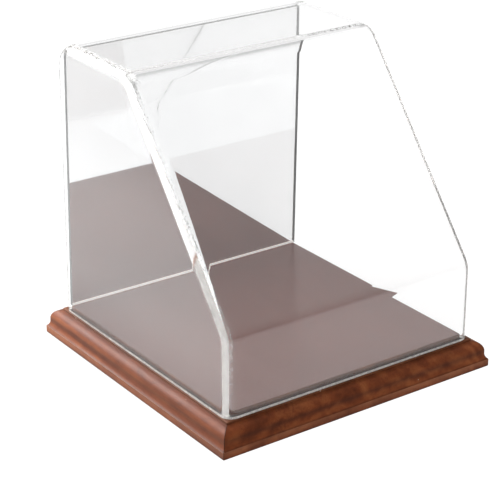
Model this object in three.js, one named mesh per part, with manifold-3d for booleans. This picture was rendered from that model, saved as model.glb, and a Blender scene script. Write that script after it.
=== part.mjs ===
// Slant-front display case: a clear acrylic cover with a mirror back on a moulded wood base.
// Millimetres, +Z up, front towards -Y. The case stands on four bumpers on the plane z = 0.

import * as THREE from 'three';
import { mergeVertices } from 'three/addons/utils/BufferGeometryUtils.js';
import Module from 'manifold-3d';

const wasm = await Module();
wasm.setup();

// Driving dimensions
const BASE_WIDTH = 152.4; // square footprint, measured over the lip of the moulding
const TOTAL_HEIGHT = 152.4; // from the table to the top of the cover
const BUMPER_HEIGHT = 3.2;
const BUMPER_DIAMETER = 11;
const BUMPER_INSET = 16; // from the edge of the base to the bumper's centre
const BOARD_THICKNESS = 16.2;
const RABBET_DEPTH = 2.4; // the cover stands this far below the deck
const COVER_WIDTH = 138.8; // square, over the outside
const SHEET = 3.2; // thickness of the acrylic
const TOP_DEPTH = 63.1; // flat top, from the back to where the slant starts
const LIP_HEIGHT = 38.6; // upright front, from the rabbet to where the slant ends
const BEND_RADIUS = 12; // outside of the bends
const EDGE_RADIUS = 5.6; // rounded-over edges along both sides
const DECK_CLEARANCE = 0.5; // between the deck and the inside of the cover
const MIRROR_THICKNESS = 2.0;
const MIRROR_TAPE = 0.3; // adhesive film between the mirror's foot and the back wall
const MIRROR_LEAN = 1.2; // degrees; its top edge meets the bend inside the back and is pushed forwards
const MIRROR_HEIGHT = 126.8; // along the sheet
const MIRROR_SIDE_GAP = 0.4;
const MIRROR_BOTTOM_GAP = 0.4;

// Moulding profile, measured outwards from the cover's face
const LEDGE = 0.5; // flat ledge beside the cover
const FILLET_DROP = 1.2; // upright step under the ledge
const OVOLO_RADIUS = 4.8; // convex quarter round
const COVE_RADIUS = 3.6; // hollow under it
const LIP_FACE = 3.7; // upright face at the bottom
const EASE = 0.8; // small chamfer on the bottom arris

// Levels and half sizes worked out from the above
const boardBottom = BUMPER_HEIGHT;
const deckTop = boardBottom + BOARD_THICKNESS;
const rabbetTop = deckTop - RABBET_DEPTH;
const coverHalf = COVER_WIDTH / 2;
const innerHalf = coverHalf - SHEET;
const deckHalf = innerHalf - DECK_CLEARANCE;
const baseHalf = BASE_WIDTH / 2;

const BEND_SEGMENTS = 10;
const EDGE_SEGMENTS = 6;
const ROUND_SEGMENTS = 10;

const clearAcrylic = () => new THREE.MeshStandardMaterial({
  color: 0xf2f6f6, roughness: 0.05, metalness: 0, transparent: true, opacity: 0.25,
});
const mirrorAcrylic = () => new THREE.MeshStandardMaterial({
  color: 0xd9dcdc, roughness: 0.04, metalness: 0.9,
});
const stainedWood = () => new THREE.MeshStandardMaterial({
  color: 0x7a3f24, roughness: 0.35, metalness: 0,
});
const blackRubber = () => new THREE.MeshStandardMaterial({
  color: 0x1b1b1c, roughness: 0.8, metalness: 0,
});

// A closed geometry as a manifold-3d solid
function toSolid(geometry) {
  geometry.deleteAttribute('normal');
  geometry.deleteAttribute('uv');
  const merged = mergeVertices(geometry, 1e-4);
  return new wasm.Manifold(new wasm.Mesh({
    numProp: 3,
    vertProperties: merged.attributes.position.array,
    triVerts: merged.index.array,
  }));
}

// A manifold-3d solid as a geometry
function toGeometry(solid) {
  const mesh = solid.getMesh();
  const geometry = new THREE.BufferGeometry();
  geometry.setAttribute('position', new THREE.BufferAttribute(mesh.vertProperties, 3));
  geometry.setIndex(new THREE.BufferAttribute(mesh.triVerts, 1));
  geometry.computeVertexNormals();
  return geometry;
}

function boxSolid(x0, x1, y0, y1, z0, z1) {
  const box = new THREE.BoxGeometry(x1 - x0, y1 - y0, z1 - z0);
  box.translate((x0 + x1) / 2, (y0 + y1) / 2, (z0 + z1) / 2);
  return toSolid(box);
}

// Corners of the cover's side outline in (y, z), moved inwards by `inset` at every wall.
// The outline runs on below the rabbet, and is cut off there later.
function sideCorners(inset) {
  const back = coverHalf;
  const top = TOTAL_HEIGHT;
  const slantTop = new THREE.Vector2(back - TOP_DEPTH, top);
  const slantFoot = new THREE.Vector2(-coverHalf, rabbetTop + LIP_HEIGHT);
  const slant = slantTop.clone().sub(slantFoot);
  const tilt = Math.atan2(slant.x, slant.y); // of the slant, away from upright
  const topShift = inset * Math.tan((Math.PI / 2 - tilt) / 2);
  const footShift = inset * Math.tan(tilt / 2);
  const foot = rabbetTop - 2 * BEND_RADIUS;
  return [
    new THREE.Vector2(back - inset, foot),
    new THREE.Vector2(back - inset, top - inset),
    new THREE.Vector2(slantTop.x + topShift, top - inset),
    new THREE.Vector2(slantFoot.x + inset, slantFoot.y - footShift),
    new THREE.Vector2(-coverHalf + inset, foot),
  ];
}

// Outline through the corners, with the three upper ones rounded to `radius`
function bentOutline(inset, radius) {
  const corners = sideCorners(inset);
  const shape = new THREE.Shape();
  shape.moveTo(corners[0].x, corners[0].y);
  for (let i = 1; i <= 3; i += 1) {
    const before = corners[i - 1].clone().sub(corners[i]).normalize();
    const after = corners[i + 1].clone().sub(corners[i]).normalize();
    const halfAngle = before.angleTo(after) / 2;
    const reach = radius / Math.tan(halfAngle);
    const toCentre = before.clone().add(after).normalize();
    const centre = corners[i].clone().addScaledVector(toCentre, radius / Math.sin(halfAngle));
    const start = corners[i].clone().addScaledVector(before, reach).sub(centre);
    const sweep = Math.PI - 2 * halfAngle;
    for (let k = 0; k <= BEND_SEGMENTS; k += 1) {
      const point = start.clone().rotateAround(new THREE.Vector2(), sweep * k / BEND_SEGMENTS);
      shape.lineTo(centre.x + point.x, centre.y + point.y);
    }
  }
  shape.lineTo(corners[4].x, corners[4].y);
  return shape;
}

// Turns an extrusion of a (y, z) outline so that it runs along X, centred on x = 0
function alongX(geometry) {
  geometry.computeBoundingBox();
  const box = geometry.boundingBox;
  geometry.translate(0, 0, -(box.min.z + box.max.z) / 2);
  geometry.applyMatrix4(new THREE.Matrix4().makeBasis(
    new THREE.Vector3(0, 1, 0), new THREE.Vector3(0, 0, 1), new THREE.Vector3(1, 0, 0),
  ));
  return geometry;
}

const farOut = BASE_WIDTH;
const aboveRabbet = () => boxSolid(-farOut, farOut, -farOut, farOut, rabbetTop, 2 * TOTAL_HEIGHT);

// The whole cover as one block, with its side edges rounded over
function coverBlock() {
  const geometry = new THREE.ExtrudeGeometry(bentOutline(0, BEND_RADIUS), {
    depth: COVER_WIDTH - 2 * EDGE_RADIUS,
    bevelEnabled: true,
    bevelThickness: EDGE_RADIUS,
    bevelSize: EDGE_RADIUS,
    bevelOffset: -EDGE_RADIUS,
    bevelSegments: EDGE_SEGMENTS,
    curveSegments: 1,
  });
  return toSolid(alongX(geometry)).intersect(aboveRabbet());
}

// Everything inside the sheet
function coverInside() {
  const geometry = new THREE.ExtrudeGeometry(bentOutline(SHEET, BEND_RADIUS - SHEET), {
    depth: 2 * farOut,
    bevelEnabled: false,
    curveSegments: 1,
  });
  return toSolid(alongX(geometry));
}

function wrapSheet() {
  const between = boxSolid(-innerHalf, innerHalf, -farOut, farOut, 0, 2 * TOTAL_HEIGHT);
  return toGeometry(coverBlock().intersect(between).subtract(coverInside()));
}

function sidePanel(side) {
  const x0 = side < 0 ? -farOut : innerHalf;
  const x1 = side < 0 ? -innerHalf : farOut;
  return toGeometry(coverBlock().intersect(boxSolid(x0, x1, -farOut, farOut, 0, 2 * TOTAL_HEIGHT)));
}

// The mirror stands on its back lower edge and leans forwards about it
function mirrorSheet() {
  const width = 2 * (innerHalf - MIRROR_SIDE_GAP);
  const geometry = new THREE.BoxGeometry(width, MIRROR_THICKNESS, MIRROR_HEIGHT);
  geometry.translate(0, -MIRROR_THICKNESS / 2, MIRROR_HEIGHT / 2);
  geometry.rotateX(THREE.MathUtils.degToRad(MIRROR_LEAN));
  const foot = MIRROR_THICKNESS * Math.sin(THREE.MathUtils.degToRad(MIRROR_LEAN));
  geometry.translate(0, innerHalf - MIRROR_TAPE, deckTop + MIRROR_BOTTOM_GAP + foot);
  return geometry;
}

// Half section of the board: x is the distance from the middle, y the height
function boardSection() {
  const ledgeEnd = coverHalf + LEDGE;
  const ovoloTop = rabbetTop - FILLET_DROP;
  const ovoloEnd = ledgeEnd + OVOLO_RADIUS;
  const lipTop = boardBottom + LIP_FACE;
  const coveCentre = new THREE.Vector2(ovoloEnd + COVE_RADIUS, 0);
  const coveSweep = Math.acos((coveCentre.x - baseHalf) / COVE_RADIUS);
  coveCentre.y = lipTop + COVE_RADIUS * Math.sin(coveSweep);
  const outline = [
    new THREE.Vector2(0, deckTop),
    new THREE.Vector2(deckHalf, deckTop),
    new THREE.Vector2(deckHalf, rabbetTop),
    new THREE.Vector2(ledgeEnd, rabbetTop),
  ];
  for (let k = 0; k <= ROUND_SEGMENTS; k += 1) {
    const angle = Math.PI / 2 * (1 - k / ROUND_SEGMENTS);
    outline.push(new THREE.Vector2(
      ledgeEnd + OVOLO_RADIUS * Math.cos(angle),
      ovoloTop - OVOLO_RADIUS + OVOLO_RADIUS * Math.sin(angle),
    ));
  }
  for (let k = 0; k <= ROUND_SEGMENTS; k += 1) {
    const angle = Math.PI + coveSweep * k / ROUND_SEGMENTS;
    outline.push(new THREE.Vector2(
      coveCentre.x + COVE_RADIUS * Math.cos(angle),
      coveCentre.y + COVE_RADIUS * Math.sin(angle),
    ));
  }
  outline.push(new THREE.Vector2(baseHalf, boardBottom + EASE));
  outline.push(new THREE.Vector2(baseHalf - EASE, boardBottom));
  outline.push(new THREE.Vector2(0, boardBottom));
  return outline;
}

// The board: its half section turned through four corners with mitred arrises
function woodBoard() {
  const corners = 4;
  const section = boardSection().map((p) => new THREE.Vector2(p.x * Math.SQRT2, p.y)).reverse();
  const geometry = new THREE.LatheGeometry(section, corners, Math.PI / 4);
  geometry.rotateX(Math.PI / 2);
  geometry.deleteAttribute('normal');
  geometry.deleteAttribute('uv');
  return mergeVertices(geometry, 1e-4);
}

function bumper() {
  const radius = BUMPER_DIAMETER / 2;
  const edge = 0.8;
  const profile = [
    new THREE.Vector2(0, 0),
    new THREE.Vector2(radius - edge, 0),
    new THREE.Vector2(radius, BUMPER_HEIGHT - edge),
    new THREE.Vector2(radius, BUMPER_HEIGHT),
    new THREE.Vector2(0, BUMPER_HEIGHT),
  ];
  const geometry = new THREE.LatheGeometry(profile, 32);
  geometry.rotateX(Math.PI / 2);
  return geometry;
}

const displayCase = new THREE.Group();

function addMesh(name, geometry, material, parent = displayCase) {
  const mesh = new THREE.Mesh(geometry, material);
  mesh.name = name;
  parent.add(mesh);
  return mesh;
}

addMesh('wood_base', woodBoard(), stainedWood());

const bumperPlace = baseHalf - BUMPER_INSET;
for (const [name, x, y] of [
  ['bumper_front_left', -bumperPlace, -bumperPlace],
  ['bumper_front_right', bumperPlace, -bumperPlace],
  ['bumper_back_left', -bumperPlace, bumperPlace],
  ['bumper_back_right', bumperPlace, bumperPlace],
]) {
  addMesh(name, bumper(), blackRubber()).position.set(x, y, 0);
}

const cover = new THREE.Group();
displayCase.add(cover);
addMesh('cover_wrap', wrapSheet(), clearAcrylic(), cover);
addMesh('cover_side_left', sidePanel(-1), clearAcrylic(), cover);
addMesh('cover_side_right', sidePanel(1), clearAcrylic(), cover);
addMesh('mirror_panel', mirrorSheet(), mirrorAcrylic(), cover);

export default displayCase;
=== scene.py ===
import math

import bmesh
import bpy
from mathutils import Matrix, Vector


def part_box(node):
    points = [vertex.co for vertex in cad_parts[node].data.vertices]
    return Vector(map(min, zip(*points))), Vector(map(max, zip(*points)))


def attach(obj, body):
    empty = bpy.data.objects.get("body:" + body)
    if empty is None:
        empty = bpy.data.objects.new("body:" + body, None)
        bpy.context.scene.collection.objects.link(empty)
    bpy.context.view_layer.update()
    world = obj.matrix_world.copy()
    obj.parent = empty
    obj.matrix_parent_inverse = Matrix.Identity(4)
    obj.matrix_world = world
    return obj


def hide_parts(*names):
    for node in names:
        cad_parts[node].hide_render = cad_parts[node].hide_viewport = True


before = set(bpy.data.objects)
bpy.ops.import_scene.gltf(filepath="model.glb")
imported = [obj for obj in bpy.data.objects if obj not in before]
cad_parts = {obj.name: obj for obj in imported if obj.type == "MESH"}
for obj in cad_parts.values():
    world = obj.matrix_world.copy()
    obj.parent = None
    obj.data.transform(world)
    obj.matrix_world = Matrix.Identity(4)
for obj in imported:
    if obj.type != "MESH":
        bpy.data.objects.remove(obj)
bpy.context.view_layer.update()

MM = 0.001

# Sizes that the frame's boxes give
side_low, side_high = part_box("cover_side_left")
wrap_low, wrap_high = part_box("cover_wrap")
base_low, base_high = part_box("wood_base")
COVER_HALF = -side_low.x
SHEET = side_high.x - side_low.x
COVER_FOOT = wrap_low.z
COVER_TOP = wrap_high.z
INNER_HALF = COVER_HALF - SHEET
BASE_HALF = base_high.x
BOARD_BOTTOM = base_low.z
DECK_TOP = base_high.z

# Sizes repeated from the part's source
TOP_DEPTH = 63.1 * MM
LIP_HEIGHT = 38.6 * MM
BEND_RADIUS = 12 * MM
EDGE_RADIUS = 5.6 * MM
DECK_CLEARANCE = 0.5 * MM
LEDGE = 0.5 * MM
FILLET_DROP = 1.2 * MM
OVOLO_RADIUS = 4.8 * MM
COVE_RADIUS = 3.6 * MM
LIP_FACE = 3.7 * MM
MIRROR_THICKNESS = 2.0 * MM
MIRROR_TAPE = 0.3 * MM
MIRROR_LEAN = math.radians(1.2)
MIRROR_HEIGHT = 126.8 * MM
MIRROR_SIDE_GAP = 0.4 * MM
MIRROR_BOTTOM_GAP = 0.4 * MM

QUIRK = COVER_FOOT - FILLET_DROP - OVOLO_RADIUS  # where the ovolo meets the cove
CONTACT_GAP = 0.03 * MM  # keeps faces that touch from coinciding
BEND_STEPS = 24
ROUND_STEPS = 14
CORNER_POINTS = 5  # round each corner of the board, the middle one on the mitre
ACROSS_MITRE = (0, 0.4, 1, 0.4, 0)  # how much darker each of them is made
IOR = 1.49  # acrylic
LACQUER_IOR = 1.45

# Material numbers on the cover's sheets, on the mirror and on the board
FACE, ARRIS, JOINT, SAWN = range(4)
SHEET_FACE, SHEET_BACK, SHEET_FOOT, SHEET_END = range(4)
LONG_SIDE, ON_DECK, SHORT_SIDE = range(3)


# ---------------------------------------------------------------- node helpers

def new_tree(name):
    material = bpy.data.materials.new(name)
    material.use_nodes = True
    material.node_tree.nodes.clear()
    return material, material.node_tree


def add(tree, kind, sockets=None, **settings):
    """A node of this kind with its settings, its sockets set to values or linked from other sockets."""
    node = tree.nodes.new(kind)
    for key, value in settings.items():
        setattr(node, key, value)
    for key, value in (sockets or {}).items():
        if isinstance(value, bpy.types.NodeSocket):
            tree.links.new(value, node.inputs[key])
        else:
            node.inputs[key].default_value = value
    return node


def finish_material(tree, shader):
    add(tree, "ShaderNodeOutputMaterial", {"Surface": shader})


def place(tree):
    return add(tree, "ShaderNodeTexCoord").outputs["Object"]


def stretched(tree, vector, scale, location=(0, 0, 0)):
    node = add(tree, "ShaderNodeMapping", {"Vector": vector, "Scale": scale, "Location": location})
    return node.outputs["Vector"]


def noise(tree, vector, scale, detail=4.0, roughness=0.55, distortion=0.0):
    return add(tree, "ShaderNodeTexNoise", {
        "Vector": vector, "Scale": scale, "Detail": detail, "Roughness": roughness,
        "Distortion": distortion,
    }).outputs["Fac"]


def remap(tree, value, low, high, to_low=0.0, to_high=1.0, smooth=False):
    node = add(tree, "ShaderNodeMapRange", {
        "Value": value, "From Min": low, "From Max": high, "To Min": to_low, "To Max": to_high,
    }, clamp=True)
    if smooth:
        node.interpolation_type = "SMOOTHSTEP"
    return node.outputs["Result"]


def sums(tree, operation, a, b, c=None):
    node = add(tree, "ShaderNodeMath", {0: a, 1: b}, operation=operation)
    if c is not None:
        node.inputs[2].default_value = c
    return node.outputs["Value"]


def blend_colours(tree, factor, a, b, kind="MIX"):
    node = add(tree, "ShaderNodeMix", data_type="RGBA", blend_type=kind)
    for socket, value in ((node.inputs[0], factor), (node.inputs[6], a), (node.inputs[7], b)):
        if isinstance(value, bpy.types.NodeSocket):
            tree.links.new(value, socket)
        else:
            socket.default_value = value
    return node.outputs[2]


def mixed(tree, factor, a, b):
    return add(tree, "ShaderNodeMixShader", {0: factor, 1: a, 2: b}).outputs["Shader"]


def bump(tree, height, distance, strength=1.0):
    return add(tree, "ShaderNodeBump", {
        "Height": height, "Distance": distance, "Strength": strength,
    }).outputs["Normal"]


# ---------------------------------------------------------------- materials

def glass_shader(tree, roughness=0.0, normal=None):
    sockets = {
        "Base Color": (1, 1, 1, 1), "Transmission Weight": 1.0, "IOR": IOR, "Roughness": roughness,
    }
    if normal is not None:
        sockets["Normal"] = normal
    return add(tree, "ShaderNodeBsdfPrincipled", sockets).outputs["BSDF"]


def clear_acrylic():
    """Polished sheet: clear, with the faint long waves of a bent sheet."""
    material, tree = new_tree("clear_acrylic")
    where = place(tree)
    waves = noise(tree, stretched(tree, where, (14, 30, 30)), 1.0, 2.0)
    finish_material(tree, glass_shader(tree, normal=bump(tree, waves, 0.02 * MM)))
    return material


def near_top(tree, where, low=13 * MM, high=5 * MM):
    height = add(tree, "ShaderNodeSeparateXYZ", {"Vector": where}).outputs["Z"]
    return remap(tree, height, COVER_TOP - low, COVER_TOP - high, smooth=True)


def polished_edge():
    """Rounded, flame-polished arris. Along the top, crept-out solvent has frosted it in crumbs."""
    material, tree = new_tree("polished_edge")
    where = place(tree)
    ripples = noise(tree, stretched(tree, where, (500, 25, 25)), 1.0, 2.0, 0.5)
    patches = noise(tree, where, 90.0, 2.0)
    dents = noise(tree, where, 330.0, 2.0)
    crumbs = noise(tree, where, 900.0, 3.0, 0.6, 0.4)
    on_top = near_top(tree, where)
    height = sums(tree, "ADD", sums(tree, "MULTIPLY", ripples, 0.3), patches)
    height = sums(tree, "ADD", height, sums(tree, "MULTIPLY", dents, 0.5))
    rough_top = sums(tree, "MULTIPLY", crumbs, sums(tree, "MULTIPLY", on_top, 2.2))
    height = sums(tree, "ADD", height, rough_top)
    clear = glass_shader(tree, normal=bump(tree, height, 0.03 * MM))
    white = add(tree, "ShaderNodeBsdfDiffuse", {"Color": (0.50, 0.50, 0.49, 1)}).outputs["BSDF"]
    by_joint = near_top(tree, where, 4.2 * MM, 2.2 * MM)
    frost = sums(tree, "MULTIPLY", remap(tree, crumbs, 0.50, 0.60, 0.0, 0.60), by_joint)
    finish_material(tree, mixed(tree, frost, clear, white))
    return material


def glue_line():
    """Solvent bond seen through the sheets: frothy on top, mostly clear with a few bubbles below."""
    material, tree = new_tree("glue_line")
    where = place(tree)
    on_top = near_top(tree, where)
    cloud = noise(tree, where, 120.0, 3.0)
    crumbs = noise(tree, where, 1050.0, 3.0, 0.6, 0.5)
    amount = sums(tree, "ADD", sums(tree, "MULTIPLY", cloud, 0.45),
                  sums(tree, "MULTIPLY", crumbs, 0.75))
    amount = sums(tree, "ADD", amount, sums(tree, "MULTIPLY", on_top, 0.10))
    haze = remap(tree, amount, 0.62, 0.76, 0.0, 0.9)
    pocket = remap(tree, noise(tree, where, 760.0, 2.0, 0.5, 0.3), 0.645, 0.675)
    few = remap(tree, sums(tree, "ADD", cloud, sums(tree, "MULTIPLY", on_top, 0.12)), 0.50, 0.58)
    white = add(tree, "ShaderNodeBsdfDiffuse", {"Color": (0.66, 0.66, 0.65, 1)}).outputs["BSDF"]
    dark = add(tree, "ShaderNodeBsdfDiffuse", {"Color": (0.16, 0.16, 0.15, 1)}).outputs["BSDF"]
    open_part = add(tree, "ShaderNodeBsdfTransparent").outputs["BSDF"]
    body = mixed(tree, haze, open_part, white)
    bubbles = sums(tree, "MULTIPLY", pocket, sums(tree, "MULTIPLY", few, 0.7))
    finish_material(tree, mixed(tree, bubbles, body, dark))
    return material


def clean_bond():
    """Face shared by two sheets that the solvent has made one: nothing to see."""
    material, tree = new_tree("clean_bond")
    finish_material(tree, add(tree, "ShaderNodeBsdfTransparent").outputs["BSDF"])
    return material


def cut_edge():
    """Scraped lower edge of the cover's sheets: frosted white, with clearer streaks."""
    material, tree = new_tree("cut_edge")
    where = place(tree)
    scraped = remap(tree, noise(tree, where, 900.0, 3.0), 0.35, 0.6, 0.6, 1.0)
    white = add(tree, "ShaderNodeBsdfDiffuse", {"Color": (0.97, 0.94, 0.90, 1)}).outputs["BSDF"]
    finish_material(tree, mixed(tree, scraped, glass_shader(tree, 0.12), white))
    return material


def silver():
    """Metal film seen through the mirror sheet."""
    material, tree = new_tree("mirror_silver")
    where = place(tree)
    tone = remap(tree, noise(tree, where, 35.0, 2.0), 0.3, 0.7)
    colour = blend_colours(tree, tone, (0.835, 0.840, 0.845, 1), (0.862, 0.866, 0.870, 1))
    finish_material(tree, add(tree, "ShaderNodeBsdfPrincipled", {
        "Base Color": colour, "Metallic": 1.0, "Roughness": 0.015,
    }).outputs["BSDF"])
    return material


def sawn_edge(name, low, high, piped=0.0):
    """Saw-cut edge of the mirror sheet: matt, with fine chatter marks. Its glow stands for the light
    that the sheet pipes to it."""
    material, tree = new_tree(name)
    where = place(tree)
    chatter = noise(tree, stretched(tree, where, (900, 3000, 900)), 1.0, 3.0)
    colour = blend_colours(tree, remap(tree, chatter, 0.35, 0.65), low, high)
    finish_material(tree, add(tree, "ShaderNodeBsdfPrincipled", {
        "Base Color": colour, "Roughness": 0.7, "Normal": bump(tree, chatter, 0.02 * MM),
        "Emission Color": colour, "Emission Strength": piped,
    }).outputs["BSDF"])
    return material


def backing_paint():
    """Grey protective paint on the back of the mirror, with a roller's texture."""
    material, tree = new_tree("backing_paint")
    where = place(tree)
    stipple = noise(tree, where, 1400.0, 3.0)
    cloud = noise(tree, where, 45.0, 3.0)
    colour = blend_colours(tree, remap(tree, cloud, 0.3, 0.7),
                           (0.25, 0.26, 0.27, 1), (0.34, 0.35, 0.36, 1))
    finish_material(tree, add(tree, "ShaderNodeBsdfPrincipled", {
        "Base Color": colour, "Roughness": remap(tree, stipple, 0.3, 0.7, 0.5, 0.7),
        "Normal": bump(tree, stipple, 0.05 * MM),
    }).outputs["BSDF"])
    return material


def wood_colour(tree, where, dark, middle, light, contrast):
    """Grain running from front to back: broad figure, fine fibres and open pores."""
    rings_at = stretched(tree, where, (1.0, 0.10, 1.0), (0.024, 0.0, 0.105))
    rings = add(tree, "ShaderNodeTexWave", {
        "Vector": rings_at, "Scale": 46.0, "Distortion": 9.0, "Detail": 3.0,
        "Detail Scale": 1.3, "Detail Roughness": 0.55,
    }, wave_type="RINGS", rings_direction="Y", wave_profile="SIN").outputs["Fac"]
    fibres = noise(tree, stretched(tree, where, (1500, 42, 1500)), 1.0, 4.0, 0.6)
    pores = noise(tree, stretched(tree, where, (2300, 120, 2300)), 1.0, 2.0, 0.5)
    pores = remap(tree, pores, 0.58, 0.70)
    mottle = noise(tree, stretched(tree, where, (45, 18, 45)), 1.0, 4.0, 0.6, 0.6)
    flame = noise(tree, stretched(tree, where, (110, 70, 110)), 1.0, 3.0, 0.6, 1.2)
    tone = sums(tree, "ADD", sums(tree, "MULTIPLY", rings, 0.16), sums(tree, "MULTIPLY", mottle, 0.55))
    tone = sums(tree, "ADD", tone, sums(tree, "MULTIPLY", flame, 0.35))
    tone = sums(tree, "ADD", tone, sums(tree, "MULTIPLY", fibres, 0.20))
    ramp = add(tree, "ShaderNodeValToRGB", {"Fac": remap(tree, tone, 0.63 - contrast, 0.63 + contrast)})
    ramp.color_ramp.elements[0].color = dark
    ramp.color_ramp.elements[1].color = light
    ramp.color_ramp.elements.new(0.5).color = middle
    colour = blend_colours(tree, sums(tree, "MULTIPLY", pores, 0.35), ramp.outputs["Color"], dark)
    return colour, fibres, pores, mottle


def stained_moulding(end_grain):
    """Reddish-brown stain on the board's moulded edges. Long grain keeps a satin sheen, and end grain
    soaks up more stain and stays dull."""
    material, tree = new_tree("stained_end_grain" if end_grain else "stained_long_grain")
    where = place(tree)
    colour, fibres, pores, mottle = wood_colour(
        tree, where, (0.052, 0.0115, 0.0040, 1), (0.140, 0.0350, 0.0110, 1),
        (0.245, 0.0750, 0.0250, 1), 0.26)
    if end_grain:
        speckle = noise(tree, where, 520.0, 3.0, 0.65)
        patches = remap(tree, noise(tree, where, 85.0, 3.0, 0.6), 0.36, 0.60, 0.75, 0.0)
        soaked = sums(tree, "MULTIPLY", patches, remap(tree, speckle, 0.35, 0.65, 0.4, 1.0))
        colour = blend_colours(tree, soaked, colour, (0.070, 0.0165, 0.0058, 1))

    # Painted shade: dark lines in the quirk between ovolo and cove, on the top of the lip, along the
    # lower arris and under the cover's foot. A dark line also runs down the middle of each rounded
    # corner of the moulding
    height = add(tree, "ShaderNodeSeparateXYZ", {"Vector": where}).outputs["Z"]
    for level, reach, amount in ((QUIRK, 2.0 * MM, 0.40), (BOARD_BOTTOM + LIP_FACE, 0.8 * MM, 0.55),
                                 (BOARD_BOTTOM, 1.0 * MM, 0.85), (COVER_FOOT, 1.9 * MM, 0.80)):
        away = sums(tree, "ABSOLUTE", sums(tree, "SUBTRACT", height, level), 0.0)
        colour = blend_colours(tree, remap(tree, away, 0.0, reach, amount, 0.0), colour,
                               (0.016, 0.0038, 0.0016, 1))
    mitre = add(tree, "ShaderNodeAttribute", attribute_name="mitre").outputs["Fac"]
    colour = blend_colours(tree, sums(tree, "MULTIPLY", mitre, 0.9), colour, (0.014, 0.0034, 0.0015, 1))

    # Painted highlight along the arrises, mottled, and a few pale specks of dust in the lacquer
    arris_highlight = add(tree, "ShaderNodeAttribute", attribute_name="arris_highlight").outputs["Fac"]
    painted_arris_highlight = sums(tree, "MULTIPLY", arris_highlight, remap(tree, mottle, 0.35, 0.7, 0.15, 0.6))
    colour = blend_colours(tree, painted_arris_highlight, colour, (0.36, 0.15, 0.08, 1))
    specks = add(tree, "ShaderNodeTexVoronoi", {"Vector": where, "Scale": 170.0, "Randomness": 1.0})
    dust = remap(tree, specks.outputs["Distance"], 0.045, 0.065, 0.65, 0.0)
    rare = remap(tree, noise(tree, where, 75.0, 1.0), 0.52, 0.56)
    colour = blend_colours(tree, sums(tree, "MULTIPLY", dust, rare), colour, (0.62, 0.48, 0.38, 1))

    relief = sums(tree, "ADD", sums(tree, "MULTIPLY", pores, -0.7),
                  sums(tree, "MULTIPLY", fibres, 0.35))
    rough = remap(tree, sums(tree, "ADD", fibres, mottle), 0.7, 1.3, 0.48, 0.62)
    finish_material(tree, add(tree, "ShaderNodeBsdfPrincipled", {
        "Base Color": colour, "Roughness": rough, "IOR": LACQUER_IOR,
        "Specular IOR Level": 0.08 if end_grain else 0.30,
        "Normal": bump(tree, relief, 0.05 * MM, 0.5),
    }).outputs["BSDF"])
    return material


def deck_with_painted_sheen():
    """The same stain under a fuller, smoother lacquer on the flat deck, its colours paler and greyer
    than the moulding's by a painted sheen.
    """
    material, tree = new_tree("deck_with_painted_sheen")
    where = place(tree)
    colour, _, _, mottle = wood_colour(
        tree, where, (0.238, 0.114, 0.096, 1), (0.280, 0.137, 0.117, 1),
        (0.324, 0.163, 0.141, 1), 0.60)
    rough = remap(tree, mottle, 0.3, 0.7, 0.20, 0.23)
    finish_material(tree, add(tree, "ShaderNodeBsdfPrincipled", {
        "Base Color": colour, "Roughness": rough, "IOR": LACQUER_IOR,
        "Normal": bump(tree, mottle, 0.02 * MM, 0.5),
    }).outputs["BSDF"])
    return material


def black_rubber():
    material, tree = new_tree("bumper_rubber")
    where = place(tree)
    grain = noise(tree, where, 2600.0, 3.0)
    dusty = remap(tree, noise(tree, where, 420.0, 3.0), 0.45, 0.75)
    colour = blend_colours(tree, dusty, (0.018, 0.018, 0.019, 1), (0.055, 0.053, 0.050, 1))
    finish_material(tree, add(tree, "ShaderNodeBsdfPrincipled", {
        "Base Color": colour, "Roughness": remap(tree, grain, 0.3, 0.7, 0.6, 0.85),
        "Normal": bump(tree, grain, 0.03 * MM),
    }).outputs["BSDF"])
    return material


def white_floor():
    """Lit white table, its glow painted with light and shade: greyer far out in front and a brighter
    pool of light just left of the case, hardly shadowed.
    """
    material, tree = new_tree("white_floor")
    axes = add(tree, "ShaderNodeSeparateXYZ", {"Vector": place(tree)})
    near = remap(tree, axes.outputs["Y"], -0.66, -0.34, 0.62, 1.02, smooth=True)
    far = remap(tree, axes.outputs["Y"], -3.0, -0.62, -0.35, 0.0)
    # painted pool of light on the floor just left of the case
    left_near = remap(tree, axes.outputs["X"], -0.12, -0.085, 0.35, 0.0, smooth=True)
    left_far = remap(tree, axes.outputs["X"], -0.26, -0.18, 0.0, 1.0, smooth=True)
    left = sums(tree, "MULTIPLY", left_near, left_far)
    strength = sums(tree, "ADD", sums(tree, "ADD", near, far), left)
    glow = add(tree, "ShaderNodeEmission", {
        "Color": (1, 1, 1, 1), "Strength": strength,
    }).outputs["Emission"]
    paper = add(tree, "ShaderNodeBsdfDiffuse", {"Color": (0.06, 0.06, 0.06, 1)}).outputs["BSDF"]
    finish_material(tree, add(tree, "ShaderNodeAddShader", {0: glow, 1: paper}).outputs["Shader"])
    return material


ACRYLIC = clear_acrylic()
EDGE = polished_edge()
GLUE = glue_line()
BOND = clean_bond()
CUT = cut_edge()
SILVER = silver()
PAINT = backing_paint()
# The saw-cut foot glows with painted light, its warm tint the deck's light on it
SAWN_FOOT = sawn_edge("sawn_foot", (0.84, 0.79, 0.76, 1), (0.93, 0.89, 0.86, 1), 0.36)
# The mirror sheet's two ends are painted dark grey: painted shade of the narrow gaps beside the side
# sheets
SHADED_SAWN_END = sawn_edge("shaded_sawn_end", (0.110, 0.110, 0.112, 1), (0.200, 0.200, 0.202, 1))
LONG_GRAIN = stained_moulding(False)
END_GRAIN = stained_moulding(True)
DECK = deck_with_painted_sheen()
RUBBER = black_rubber()


# ---------------------------------------------------------------- mesh helpers

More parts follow.
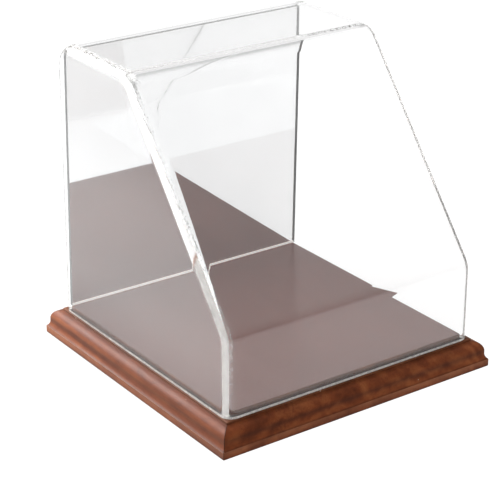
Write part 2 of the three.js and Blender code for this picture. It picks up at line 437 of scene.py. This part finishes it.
def object_from(bm, name, materials, sharp_degrees=30.0):
    """An object from a closed mesh, smooth except at its sharp edges."""
    bmesh.ops.recalc_face_normals(bm, faces=bm.faces[:])
    mesh = bpy.data.meshes.new(name)
    bm.to_mesh(mesh)
    bm.free()
    smooth = [polygon.use_smooth for polygon in mesh.polygons]
    mesh.set_sharp_from_angle(angle=math.radians(sharp_degrees))
    mesh.polygons.foreach_set("use_smooth", smooth)
    for material in materials:
        mesh.materials.append(material)
    piece = bpy.data.objects.new(name, mesh)
    bpy.context.scene.collection.objects.link(piece)
    return piece


def add_piece(piece, body, slot, *nodes):
    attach(piece, body)
    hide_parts(*nodes)
    return piece


def quad(bm, corners, material, smooth=True):
    face = bm.faces.new(corners)
    face.material_index = material
    face.smooth = smooth
    return face


# ---------------------------------------------------------------- the cover

def cover_corners(inset):
    """Corners of the cover's side outline in (y, z), moved inwards at every wall but the foot."""
    back = COVER_HALF
    slant_top = Vector((back - TOP_DEPTH, COVER_TOP))
    slant_foot = Vector((-COVER_HALF, COVER_FOOT + LIP_HEIGHT))
    slant = slant_top - slant_foot
    tilt = math.atan2(slant.x, slant.y)
    top_shift = inset * math.tan((math.pi / 2 - tilt) / 2)
    foot_shift = inset * math.tan(tilt / 2)
    return [
        Vector((back - inset, COVER_FOOT)),
        Vector((back - inset, COVER_TOP - inset)),
        Vector((slant_top.x + top_shift, COVER_TOP - inset)),
        Vector((slant_foot.x + inset, slant_foot.y - foot_shift)),
        Vector((-COVER_HALF + inset, COVER_FOOT)),
    ]


def cover_outline(inset):
    """The outline from the back foot round to the front foot, with its three bends."""
    corners = cover_corners(inset)
    radius = BEND_RADIUS - inset
    points = [corners[0]]
    for i in (1, 2, 3):
        before = (corners[i - 1] - corners[i]).normalized()
        after = (corners[i + 1] - corners[i]).normalized()
        half_angle = before.angle(after) / 2
        centre = corners[i] + (before + after).normalized() * (radius / math.sin(half_angle))
        start = corners[i] + before * (radius / math.tan(half_angle)) - centre
        sweep = math.pi - 2 * half_angle
        for k in range(BEND_STEPS + 1):
            points.append(centre + Matrix.Rotation(sweep * k / BEND_STEPS, 2) @ start)
    points.append(corners[4])
    return points


def edge_stations():
    """(depth from the side face, inset) round the arris, from the joint of the sheets to each face."""
    joint_angle = math.acos((EDGE_RADIUS - SHEET) / EDGE_RADIUS)

    def station(angle):
        return EDGE_RADIUS * (1 - math.cos(angle)), EDGE_RADIUS * (1 - math.sin(angle))

    side = [station(joint_angle * (1 - k / ROUND_STEPS)) for k in range(ROUND_STEPS + 1)]
    front = [station(joint_angle + (math.pi / 2 - joint_angle) * k / ROUND_STEPS)
             for k in range(ROUND_STEPS + 1)]
    return side, front


SUPPORT = 0.04 * MM  # a loop this far inside a flat face keeps its shading flat


def side_sheet(name, side):
    stations, _ = edge_stations()
    rings = [(INNER_HALF, SHEET + SUPPORT), (INNER_HALF, SHEET), (INNER_HALF, stations[0][1])]
    rings += [(COVER_HALF - depth, inset) for depth, inset in stations[1:]]
    rings.append((COVER_HALF, EDGE_RADIUS + SUPPORT))
    bm = bmesh.new()
    loops = [[bm.verts.new((side * x, p.x, p.y)) for p in cover_outline(inset)] for x, inset in rings]
    count = len(loops[0])
    for j in range(len(loops) - 1):
        for i in range(count):
            k = (i + 1) % count
            if k == 0:
                material = SAWN
            elif j == 1:
                material = JOINT
            else:
                material = ARRIS if 1 < j < len(loops) - 2 else FACE
            quad(bm, (loops[j][i], loops[j][k], loops[j + 1][k], loops[j + 1][i]), material, k != 0)
    quad(bm, loops[0], FACE)
    quad(bm, loops[-1], FACE)
    return object_from(bm, name, [ACRYLIC, EDGE, GLUE, CUT])


def wrap_sheet(name):
    _, stations = edge_stations()
    x_end = INNER_HALF - 0.01 * MM
    outer = [(-min(COVER_HALF - depth, x_end), inset) for depth, inset in stations]
    outer.append((outer[-1][0] + SUPPORT, 0.0))
    round_count = len(stations) - 1
    outer += [(-x, inset) for x, inset in reversed(outer)]
    section = outer + [(x_end, SHEET), (-x_end, SHEET)]
    bm = bmesh.new()
    loops = [[bm.verts.new((x, p.x, p.y)) for p in cover_outline(inset)] for x, inset in section]
    turns, count, last = len(section), len(loops[0]), len(outer) - 1
    for j in range(turns):
        k = (j + 1) % turns
        if j == last or j == turns - 1:
            material = JOINT
        else:
            material = ARRIS if j < round_count or last - round_count <= j < last else FACE
        for i in range(count - 1):
            quad(bm, (loops[j][i], loops[j][i + 1], loops[k][i + 1], loops[k][i]), material)
    for end in (0, count - 1):
        quad(bm, [loop[end] for loop in loops], SAWN, False)
    return object_from(bm, name, [ACRYLIC, EDGE, BOND, CUT])


add_piece(wrap_sheet("cover_wrap_sheet"), "cover", "clear_acrylic", "cover_wrap")
add_piece(side_sheet("cover_left_sheet", -1), "cover", "clear_acrylic", "cover_side_left")
add_piece(side_sheet("cover_right_sheet", 1), "cover", "clear_acrylic", "cover_side_right")


# ---------------------------------------------------------------- the mirror

def eased_block(name, low, high, ease, materials, back_material):
    """A block with small chamfers. Its face towards +Y takes back_material and the rest the first one,
    but the third and fourth material, if there are any, go on its foot and its two ends."""
    bm = bmesh.new()
    size = high - low
    bmesh.ops.create_cube(bm, size=1.0)
    bmesh.ops.scale(bm, vec=size, verts=bm.verts)
    bmesh.ops.translate(bm, vec=(low + high) / 2, verts=bm.verts)
    front_edges = [e for e in bm.edges if all(v.co.y < (low.y + high.y) / 2 for v in e.verts)]
    bmesh.ops.bevel(bm, geom=front_edges, offset=ease, segments=2, affect="EDGES", profile=0.5)
    bm.normal_update()
    for face in bm.faces:
        face.smooth = max(abs(c) for c in face.normal) < 0.99
        if face.normal.y > 0.9:
            face.material_index = back_material
        elif len(materials) > 2 and face.normal.z < -0.3:
            face.material_index = SHEET_FOOT
        elif len(materials) > 2 and abs(face.normal.x) > 0.9:
            face.material_index = SHEET_END
    return object_from(bm, name, materials)


def leaning(piece):
    """Turns a block that stands at the origin on to its lean and puts its foot in place."""
    foot = MIRROR_THICKNESS * math.sin(MIRROR_LEAN)
    lift = DECK_TOP + MIRROR_BOTTOM_GAP + foot
    shift = Matrix.Translation((0, INNER_HALF - MIRROR_TAPE, lift))
    piece.data.transform(shift @ Matrix.Rotation(MIRROR_LEAN, 4, "X"))
    return piece


FILM = 0.12 * MM  # silver and paint together
BARE = 0.8 * MM  # height of the band along the saw cut where the silver has chipped away
MIRROR_HALF = INNER_HALF - MIRROR_SIDE_GAP
mirror_front = eased_block(
    "mirror_clear_sheet", Vector((-MIRROR_HALF, -MIRROR_THICKNESS, 0)),
    Vector((MIRROR_HALF, -FILM - 0.01 * MM, MIRROR_HEIGHT)), 0.12 * MM,
    [ACRYLIC, BOND, SAWN_FOOT, SHADED_SAWN_END], SHEET_BACK)
mirror_film = eased_block(
    "mirror_silvered_back", Vector((-MIRROR_HALF, -FILM, BARE)),
    Vector((MIRROR_HALF, 0, MIRROR_HEIGHT)), 0.01 * MM, [SILVER, PAINT], SHEET_BACK)
# This bare band at the foot takes the sawn foot's glow: painted light
mirror_bare = eased_block(
    "mirror_bare_foot", Vector((-MIRROR_HALF, -FILM, 0)),
    Vector((MIRROR_HALF, 0, BARE - 0.01 * MM)), 0.01 * MM, [SAWN_FOOT], SHEET_FACE)
add_piece(leaning(mirror_front), "cover", "mirror", "mirror_panel")
add_piece(leaning(mirror_film), "cover", "mirror", "mirror_panel")
add_piece(leaning(mirror_bare), "cover", "mirror", "mirror_panel")


# ---------------------------------------------------------------- the wood base

def filleted(corners):
    """(distance, height, arris highlight) points of a section with (distance, height, radius, arris
    highlight) corners; the arris highlight is painted.
    """
    points = []
    for i, (d, z, radius, arris_highlight) in enumerate(corners):
        here = Vector((d, z))
        if radius <= 0 or i in (0, len(corners) - 1):
            points.append((d, z, arris_highlight))
            continue
        before = (Vector(corners[i - 1][:2]) - here).normalized()
        after = (Vector(corners[i + 1][:2]) - here).normalized()
        half_angle = before.angle(after) / 2
        reach = radius / math.tan(half_angle)
        centre = here + (before + after).normalized() * (radius / math.sin(half_angle))
        start, end = here + before * reach - centre, here + after * reach - centre
        sweep = start.angle_signed(end)
        for k in range(6):
            p = centre + Matrix.Rotation(-sweep * k / 5, 2) @ start
            points.append((p.x, p.y, arris_highlight))
    return points


def board_section():
    """Half section of the board from its middle on top, round the moulding, to its middle below."""
    rabbet = COVER_FOOT - CONTACT_GAP
    deck_half = INNER_HALF - DECK_CLEARANCE
    ledge_end = COVER_HALF + LEDGE
    ovolo_top = COVER_FOOT - FILLET_DROP
    ovolo_end = ledge_end + OVOLO_RADIUS
    lip_top = BOARD_BOTTOM + LIP_FACE
    cove_x = ovolo_end + COVE_RADIUS
    cove_sweep = math.acos((cove_x - BASE_HALF) / COVE_RADIUS)
    cove_z = lip_top + COVE_RADIUS * math.sin(cove_sweep)
    corners = [(0, DECK_TOP, 0, 0), (deck_half, DECK_TOP, 0.45 * MM, 0.5),
               (deck_half, rabbet, 0.2 * MM, 0), (ledge_end, rabbet, 0.25 * MM, 0.6),
               (ledge_end, ovolo_top, 0.2 * MM, 0)]
    for k in range(1, 21):
        angle = math.pi / 2 * (1 - k / 20)
        corners.append((ledge_end + OVOLO_RADIUS * math.cos(angle),
                        ovolo_top - OVOLO_RADIUS + OVOLO_RADIUS * math.sin(angle), 0, 0))
    for k in range(1, 20):
        angle = math.pi + cove_sweep * k / 20
        corners.append((cove_x + COVE_RADIUS * math.cos(angle),
                        cove_z + COVE_RADIUS * math.sin(angle), 0, 0))
    corners += [(BASE_HALF, lip_top, 0.3 * MM, 0.9), (BASE_HALF, BOARD_BOTTOM, 0.7 * MM, 0),
                (0, BOARD_BOTTOM, 0, 0)]
    return filleted(corners)


def plan_ring(half, radius):
    """A square ring with rounded corners."""
    points = []
    radius = min(radius, half * 0.5)
    for quarter in range(4):
        for k in range(CORNER_POINTS):
            angle = math.pi / 2 * k / (CORNER_POINTS - 1)
            p = Vector((half - radius + radius * math.cos(angle),
                        half - radius + radius * math.sin(angle)))
            points.append(Matrix.Rotation(math.pi / 2 * quarter, 2) @ p)
    return points


def wood_board(name):
    """The board, with end grain on its front and back and long grain on its two sides."""
    bm = bmesh.new()
    arris_highlight_layer = bm.verts.layers.float.new("arris_highlight")
    mitre_layer = bm.verts.layers.float.new("mitre")
    loops = []
    deck_half = INNER_HALF - DECK_CLEARANCE
    for half, z, arris_highlight in board_section()[1:-1]:
        moulded = z < COVER_FOOT - 0.5 * MM
        on_deck = half <= deck_half + 0.3 * MM and z > COVER_FOOT - 0.5 * MM
        corner = 1.3 * MM if on_deck else 0.45 * MM
        loop = []
        for i, p in enumerate(plan_ring(half, corner)):
            vertex = bm.verts.new((p.x, p.y, z))
            step = i % CORNER_POINTS
            on_arris = step == 3 and z < BOARD_BOTTOM + LIP_FACE + 0.4 * MM
            vertex[arris_highlight_layer] = max(arris_highlight, 0.9 if on_arris else 0.0)
            vertex[mitre_layer] = ACROSS_MITRE[step] if moulded else 0.0
            loop.append(vertex)
        loops.append(loop)
    count = len(loops[0])
    for upper, lower in zip(loops, loops[1:]):
        for i in range(count):
            k = (i + 1) % count
            quarter, past_mitre = i // CORNER_POINTS, i % CORNER_POINTS >= CORNER_POINTS // 2
            material = SHORT_SIDE if (quarter % 2 == 0) == past_mitre else LONG_SIDE
            quad(bm, (upper[i], upper[k], lower[k], lower[i]), material)
    quad(bm, loops[0], ON_DECK, False)
    quad(bm, loops[-1], LONG_SIDE, False)
    return object_from(bm, name, [LONG_GRAIN, DECK, END_GRAIN], 40.0)


add_piece(wood_board("wood_board"), "base", "wood", "wood_base")


# ---------------------------------------------------------------- the bumpers

def bumper(name, node):
    low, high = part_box(node)
    centre, radius, height = (low + high) / 2, (high.x - low.x) / 2, high.z - low.z
    foot = radius - 0.8 * MM
    profile = [(0.0, low.z + 0.25 * MM), (foot * 0.45, low.z + 0.22 * MM),
               (foot * 0.62, low.z + 0.02 * MM), (foot * 0.7, low.z),
               (foot - 0.3 * MM, low.z), (foot - 0.05 * MM, low.z + 0.12 * MM),
               (foot + 0.1 * MM, low.z + 0.4 * MM), (radius, high.z - 0.8 * MM),
               (radius, high.z - 0.15 * MM), (radius - 0.12 * MM, high.z - CONTACT_GAP),
               (0.0, high.z - CONTACT_GAP)]
    steps = 48
    bm = bmesh.new()
    bottom = bm.verts.new((centre.x, centre.y, profile[0][1]))
    top = bm.verts.new((centre.x, centre.y, profile[-1][1]))
    loops = [[bm.verts.new((centre.x + r * math.cos(2 * math.pi * k / steps),
                            centre.y + r * math.sin(2 * math.pi * k / steps), z))
              for k in range(steps)] for r, z in profile[1:-1]]
    for k in range(steps):
        n = (k + 1) % steps
        quad(bm, (bottom, loops[0][n], loops[0][k]), 0)
        quad(bm, (top, loops[-1][k], loops[-1][n]), 0)
        for inner, outer in zip(loops, loops[1:]):
            quad(bm, (inner[k], inner[n], outer[n], outer[k]), 0)
    return object_from(bm, name, [RUBBER], 35.0)


for place_name in ("front_left", "front_right", "back_left", "back_right"):
    node_name = "bumper_" + place_name
    add_piece(bumper("rubber_" + place_name, node_name), "base", "bumper_rubber", node_name)


# ---------------------------------------------------------------- studio

def floor():
    bm = bmesh.new()
    reach = 8.0
    quad(bm, [bm.verts.new((x, y, -0.01 * MM))
              for x, y in ((-reach, -reach), (reach, -reach), (reach, reach), (-reach, reach))], 0)
    return object_from(bm, "floor", [white_floor()])


floor()

world = bpy.data.worlds.new("studio")
bpy.context.scene.world = world
world.use_nodes = True
sky = world.node_tree
sky.nodes.clear()
toward = add(sky, "ShaderNodeTexCoord").outputs["Generated"]


def lobe(direction, low, high, amount):
    """A soft bright area of the studio round this direction."""
    direction = Vector(direction).normalized()
    dot = add(sky, "ShaderNodeVectorMath", {0: toward, 1: direction}, operation="DOT_PRODUCT")
    return remap(sky, dot.outputs["Value"], low, high, 0.0, amount, smooth=True)


strength = sums(sky, "ADD", lobe((-0.38, 0.75, 0.54), 0.84, 0.98, 0.05), 0.67)
strength = sums(sky, "ADD", strength, lobe((0.54, 0.75, 0.38), 0.5, 0.95, 0.18))
strength = sums(sky, "ADD", strength, lobe((0.50, -0.45, 0.70), 0.6, 0.95, 0.28))
strength = sums(sky, "SUBTRACT", strength, lobe((0.20, -0.98, 0.05), 0.5, 0.95, 0.30))
background = add(sky, "ShaderNodeBackground", {"Color": (1, 1, 1, 1), "Strength": strength})
add(sky, "ShaderNodeOutputWorld", {"Surface": background.outputs["Background"]})


AIM = Vector((0, 0, 50 * MM))  # where the lamps point


def softbox(name, direction, distance, width, height, power):
    """A soft light aimed at the case. Clear sheets look past it, so it never shows as a bright card."""
    light = bpy.data.lights.new(name, "AREA")
    light.shape = "RECTANGLE"
    light.size, light.size_y, light.energy = width, height, power
    lamp = bpy.data.objects.new(name, light)
    direction = Vector(direction).normalized()
    lamp.location = AIM + direction * distance
    lamp.rotation_euler = direction.to_track_quat("Z", "Y").to_euler()
    lamp.visible_camera = False
    lamp.visible_transmission = False
    bpy.context.scene.collection.objects.link(lamp)


softbox("overhead_softbox", (-0.15, 0.1, 1.0), 0.95, 0.7, 0.7, 10.0)
softbox("back_left_softbox", (-0.377, 0.752, 0.540), 0.9, 0.50, 0.40, 15.0)


# ---------------------------------------------------------------- camera and render

# Camera: azimuth and elevation of the photograph, long lens
AZIMUTH, ELEVATION, ROLL = math.radians(-35.67), math.radians(22.16), math.radians(-0.17)
TARGET = Vector((-7.48, 0.0, 78.48)) * MM
DISTANCE = 808.98 * MM
LENS = 125.77
back_to_camera = Vector((math.sin(AZIMUTH) * math.cos(ELEVATION),
                         -math.cos(AZIMUTH) * math.cos(ELEVATION), math.sin(ELEVATION)))
right = (-back_to_camera).cross(Vector((0, 0, 1))).normalized()
up = right.cross(-back_to_camera)
pose = Matrix((right, up, back_to_camera)).transposed().to_4x4()
pose.translation = TARGET + back_to_camera * DISTANCE
camera = bpy.data.objects.new("camera", bpy.data.cameras.new("camera"))
bpy.context.scene.collection.objects.link(camera)
camera.matrix_world = pose @ Matrix.Rotation(-ROLL, 4, "Z")
camera.data.sensor_width = 36
camera.data.lens = LENS
camera.data.shift_x = -0.002
camera.data.shift_y = -0.0806
camera.data.clip_start = 0.01
bpy.context.scene.camera = camera

# Light has to find its way along the sheets, so paths may be long
cycles = bpy.context.scene.cycles
cycles.max_bounces = 96
cycles.glossy_bounces = 96
cycles.transmission_bounces = 96
cycles.diffuse_bounces = 6
cycles.transparent_max_bounces = 32
bpy.context.scene.view_settings.view_transform = "Standard"
